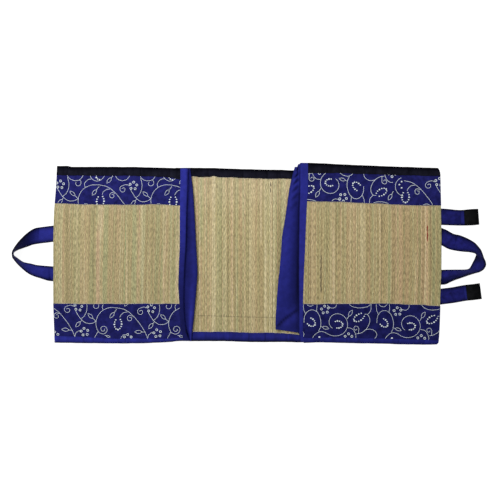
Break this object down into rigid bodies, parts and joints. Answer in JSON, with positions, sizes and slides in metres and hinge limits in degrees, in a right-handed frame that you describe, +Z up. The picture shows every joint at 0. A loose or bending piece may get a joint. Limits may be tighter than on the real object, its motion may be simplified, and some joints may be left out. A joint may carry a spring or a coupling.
{
  "type": "grass floor mat",
  "caption": "Folding woven grass floor mat, partly opened: flat reed panels with printed cloth bands, bound edges, folded cloth hinges, carrying straps and closing tabs.",
  "frame": {"origin": "middle of the whole mat on the floor, under the middle panel", "axes": "+X along the mat from the left panel to the right one with the closing tabs, +Y towards the long edge with the black bindings, +Z up"},
  "size_m": [1.6706, 0.6412, 0.053],
  "materials": {
    "korai_reed": "woven dry reed, matte",
    "printed_blue_cloth": "printed cloth, slight sheen",
    "plain_blue_cloth": "plain woven cloth, matte",
    "black_cloth": "plain woven cloth, matte"
  },
  "bodies": {
    "root": {"outer_panel_left": "korai_reed", "middle_panel": "korai_reed", "outer_panel_right": "korai_reed", "print_band_left_lower": "printed_blue_cloth", "print_band_left_upper": "printed_blue_cloth", "print_band_right_lower": "printed_blue_cloth", "print_band_right_upper": "printed_blue_cloth", "black_binding_left": "black_cloth", "black_binding_middle": "black_cloth", "black_binding_right": "black_cloth", "blue_binding_left": "plain_blue_cloth", "blue_binding_middle": "plain_blue_cloth", "blue_binding_right": "plain_blue_cloth", "hinge_cloth_left": "plain_blue_cloth", "hinge_cloth_right": "plain_blue_cloth", "handle_left": "plain_blue_cloth", "handle_right": "plain_blue_cloth", "closing_tab_upper": "plain_blue_cloth", "closing_tab_lower": "plain_blue_cloth", "grip_patch_upper": "black_cloth", "grip_patch_lower": "black_cloth"}
  },
  "joints": []
}
